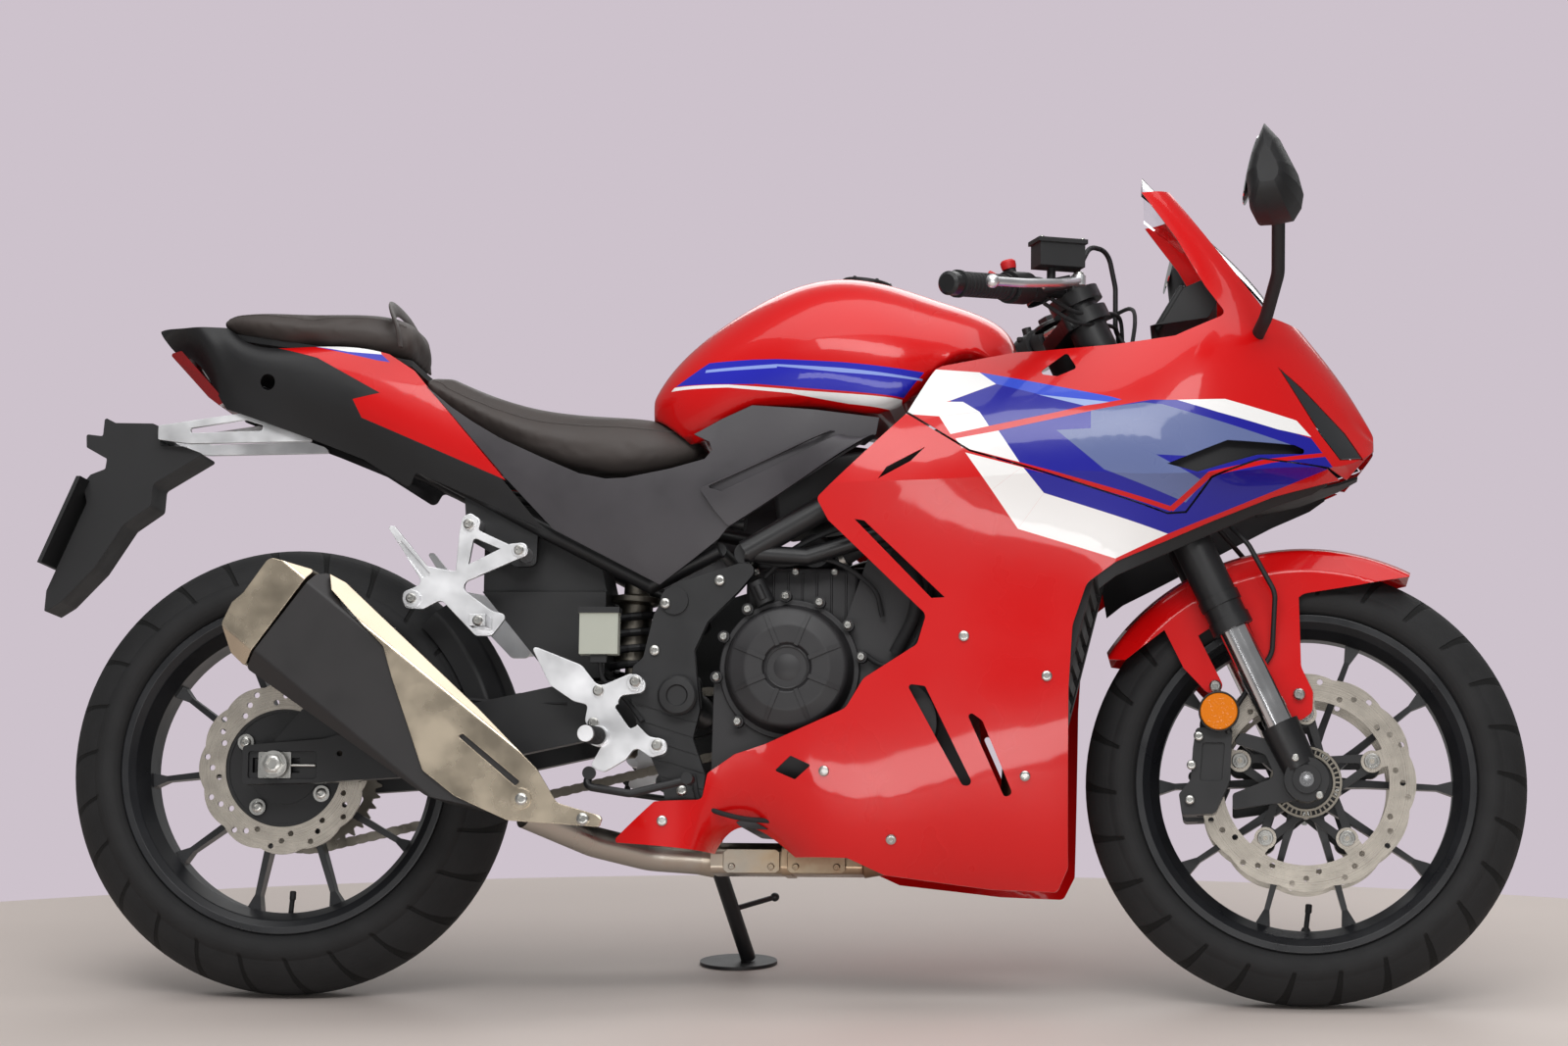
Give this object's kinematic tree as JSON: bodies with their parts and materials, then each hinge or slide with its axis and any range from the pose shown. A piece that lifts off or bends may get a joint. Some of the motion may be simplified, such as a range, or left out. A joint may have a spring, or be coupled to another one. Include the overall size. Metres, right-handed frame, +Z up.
{
  "type": "sport motorcycle",
  "caption": "A fully faired road motorcycle of sport type that leans on its side stand, with wheels that turn, a fork that steers and a stand that folds.",
  "frame": {"origin": "On the floor, below the centre of the bounding box.", "axes": "+X is forward, +Y to the rider's left and +Z up from the floor. The machine leans 12 degrees to its left, on its side stand."},
  "size_m": [2.0677, 0.8422, 1.1946],
  "materials": {
    "tyre_rubber": "matt black rubber",
    "dark_wheel_paint": "dark grey paint",
    "brake_steel": "ground steel",
    "black_metal": "satin black",
    "chrome_steel": "polished",
    "chain_steel": "dull steel",
    "bare_aluminium": "cast, bare",
    "exhaust_steel": "heat-tinted steel",
    "grip_rubber": "matt",
    "black_plastic": "grained",
    "red_paint": "gloss paint on plastic",
    "clear_screen": "clear",
    "lamp_glass": "clear over a dark lamp",
    "red_lens": "red lens",
    "seat_cover": "grained synthetic leather"
  },
  "bodies": {
    "chassis": {"axle_blocks": "chrome_steel", "clutch_cover": "black_metal", "collector": "exhaust_steel", "drive_chain": "chain_steel", "engine": "bare_aluminium", "engine_covers": "black_metal", "exhaust_pipes": "exhaust_steel", "foot_hangers": "bare_aluminium", "foot_levers": "black_metal", "front_sprocket": "chain_steel", "fuel_tank": "red_paint", "headlamps": "lamp_glass", "inner_panels": "black_plastic", "main_frame": "black_metal", "mirrors": "black_plastic", "pillion_hangers": "bare_aluminium", "pillion_seat": "seat_cover", "pivot_bolt": "chrome_steel", "pivot_plates": "black_metal", "plate_arm": "bare_aluminium", "plate_holder": "black_metal", "radiator": "bare_aluminium", "rear_axle": "chrome_steel", "rear_brake": "black_metal", "rider_seat": "seat_cover", "seat_rails": "black_metal", "side_covers": "black_plastic", "side_cowl_left": "red_paint", "side_cowl_right": "red_paint", "silencer": "black_metal", "silencer_cap": "bare_aluminium", "silencer_shield": "bare_aluminium", "swingarm": "black_metal", "tail_covers": "black_plastic", "tail_deck": "black_plastic", "tail_lamp": "red_lens", "tail_panels": "red_paint", "upper_cowl": "red_paint", "windscreen": "clear_screen"},
    "fork_body": {"fork_tubes": "chrome_steel", "fork_sleeves": "black_metal", "fork_feet": "black_metal", "front_axle": "chrome_steel", "yokes": "black_metal", "handlebars": "black_metal", "grips": "grip_rubber", "bar_controls": "black_plastic", "hand_levers": "bare_aluminium", "front_fender": "red_paint", "front_calipers": "black_metal"},
    "front_wheel": {"front_tyre": "tyre_rubber", "front_rim": "dark_wheel_paint", "front_discs": "brake_steel", "front_disc_hubs": "black_metal"},
    "rear_wheel": {"rear_tyre": "tyre_rubber", "rear_rim": "dark_wheel_paint", "rear_disc": "brake_steel", "rear_disc_hub": "black_metal", "rear_sprocket": "chain_steel"},
    "side_stand_leg": {"side_stand": "black_metal"}
  },
  "joints": [
    {"name": "steering", "type": "hinge", "parent": "chassis", "child": "fork_body", "pos_m": [0.44157, -0.03429, 0.80861], "axis": [-0.4305, 0.1877, 0.8829], "range_deg": [-30, 30]},
    {"name": "front_wheel_spin", "type": "hinge", "parent": "fork_body", "child": "front_wheel", "pos_m": [0.73388, -0.14351, 0.29475], "axis": [0, 0.9781, -0.2079], "continuous": true},
    {"name": "rear_wheel_spin", "type": "hinge", "parent": "chassis", "child": "rear_wheel", "pos_m": [-0.67612, -0.14092, 0.30693], "axis": [0, 0.9781, -0.2079], "continuous": true},
    {"name": "side_stand_fold", "type": "hinge", "parent": "chassis", "child": "side_stand_leg", "pos_m": [-0.11112, 0.00904, 0.19962], "axis": [-0.012, 0.9277, 0.3732], "range_deg": [0, 90]}
  ]
}
